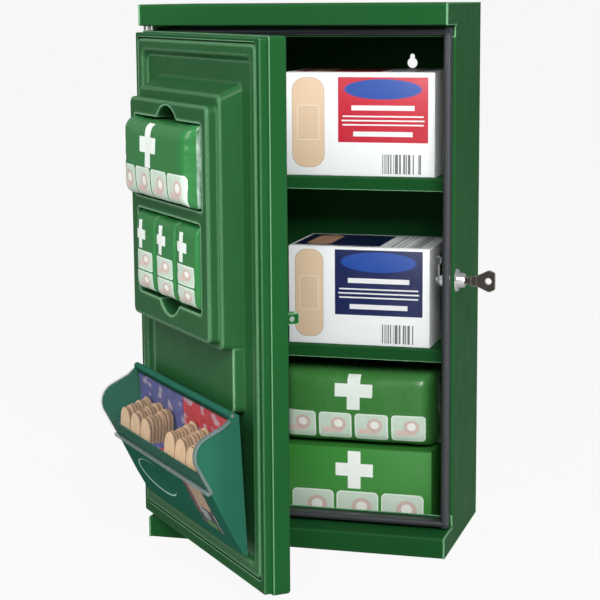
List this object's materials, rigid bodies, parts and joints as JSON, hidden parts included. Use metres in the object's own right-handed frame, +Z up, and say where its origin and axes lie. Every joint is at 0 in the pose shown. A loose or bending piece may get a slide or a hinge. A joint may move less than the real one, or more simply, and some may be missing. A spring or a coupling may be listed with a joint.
{
  "type": "first aid cabinet",
  "caption": "Lockable wall-hung steel first aid cabinet with shelves, a hinged door carrying dressing packs in a moulded liner, and a plaster dispenser with a clear flip-up hood.",
  "frame": {"origin": "centre of the cabinet's back face, in the wall's plane", "axes": "+X towards the lock side, +Y into the wall, +Z up; the front faces -Y; the door rests partly open"},
  "size_m": [0.3912, 0.4276, 0.56],
  "materials": {
    "green_paint": "semi-gloss powder coat, faint orange peel",
    "liner_plastic": "satin vacuum-formed sheet",
    "seal_rubber": "smooth black bulb seal",
    "lock_chrome": "bright plated",
    "zinc_steel": "bright zinc plate",
    "key_nickel": "dull nickel",
    "white_card": "coated white board with printed panels",
    "green_card": "coated printed board",
    "green_film": "crinkled printed film",
    "black_nylon": "moulded nylon",
    "dispenser_plastic": "moulded, slightly translucent",
    "clear_plastic": "clear polished sheet",
    "blue_card": "printed board",
    "red_card": "printed board",
    "plaster_cloth": "woven cloth"
  },
  "bodies": {
    "cabinet": {"wrapper": "green_paint", "top_panel": "green_paint", "bottom_panel": "green_paint", "upper_shelf": "green_paint", "lower_shelf": "green_paint", "door_seal": "seal_rubber", "lock_housing": "lock_chrome", "lock_nut": "zinc_steel", "upper_plaster_carton": "white_card", "lower_plaster_carton": "white_card", "dressing_carton": "green_card", "stored_pack": "green_film", "upper_hinge_pin": "zinc_steel", "lower_hinge_pin": "zinc_steel", "upper_hinge_spacer": "black_nylon", "lower_hinge_spacer": "black_nylon"},
    "lock": {"lock_plug": "lock_chrome", "lock_cam": "zinc_steel", "cam_screw": "zinc_steel"},
    "key": {"key": "key_nickel"},
    "door": {"door_pan": "green_paint", "door_frame": "green_paint", "door_liner": "liner_plastic", "upper_pivot_bush": "black_nylon", "lower_pivot_bush": "black_nylon", "latch_keeper": "zinc_steel", "keeper_pin": "zinc_steel", "keeper_rivets": "zinc_steel", "large_dressing_pack": "green_film", "left_small_pack": "green_film", "middle_small_pack": "green_film", "right_small_pack": "green_film", "dispenser_body": "dispenser_plastic", "dispenser_rail": "dispenser_plastic", "hood_pivot_pins": "zinc_steel", "dispenser_screws": "zinc_steel", "left_refill": "blue_card", "right_refill": "red_card", "left_plasters": "plaster_cloth", "right_plasters": "plaster_cloth"},
    "hood": {"dispenser_hood": "clear_plastic"}
  },
  "joints": [
    {"name": "door_hinge", "type": "hinge", "parent": "cabinet", "child": "door", "pos_m": [-0.1535, -0.167, 0], "axis": [0, 0, -1], "range_deg": [-49.4, 70]},
    {"name": "lock_turn", "type": "hinge", "parent": "cabinet", "child": "lock", "pos_m": [0.16, -0.126, 0], "axis": [1, 0, 0], "range_deg": [0, 90]},
    {"name": "key_withdraw", "type": "slide", "parent": "lock", "child": "key", "axis": [1, 0, 0], "range_m": [0, 0.024]},
    {"name": "hood_flip", "type": "hinge", "parent": "door", "child": "hood", "pos_m": [-0.07638, -0.30307, -0.0885], "axis": [-0.6508, 0.7593, 0], "range_deg": [0, 95]}
  ]
}
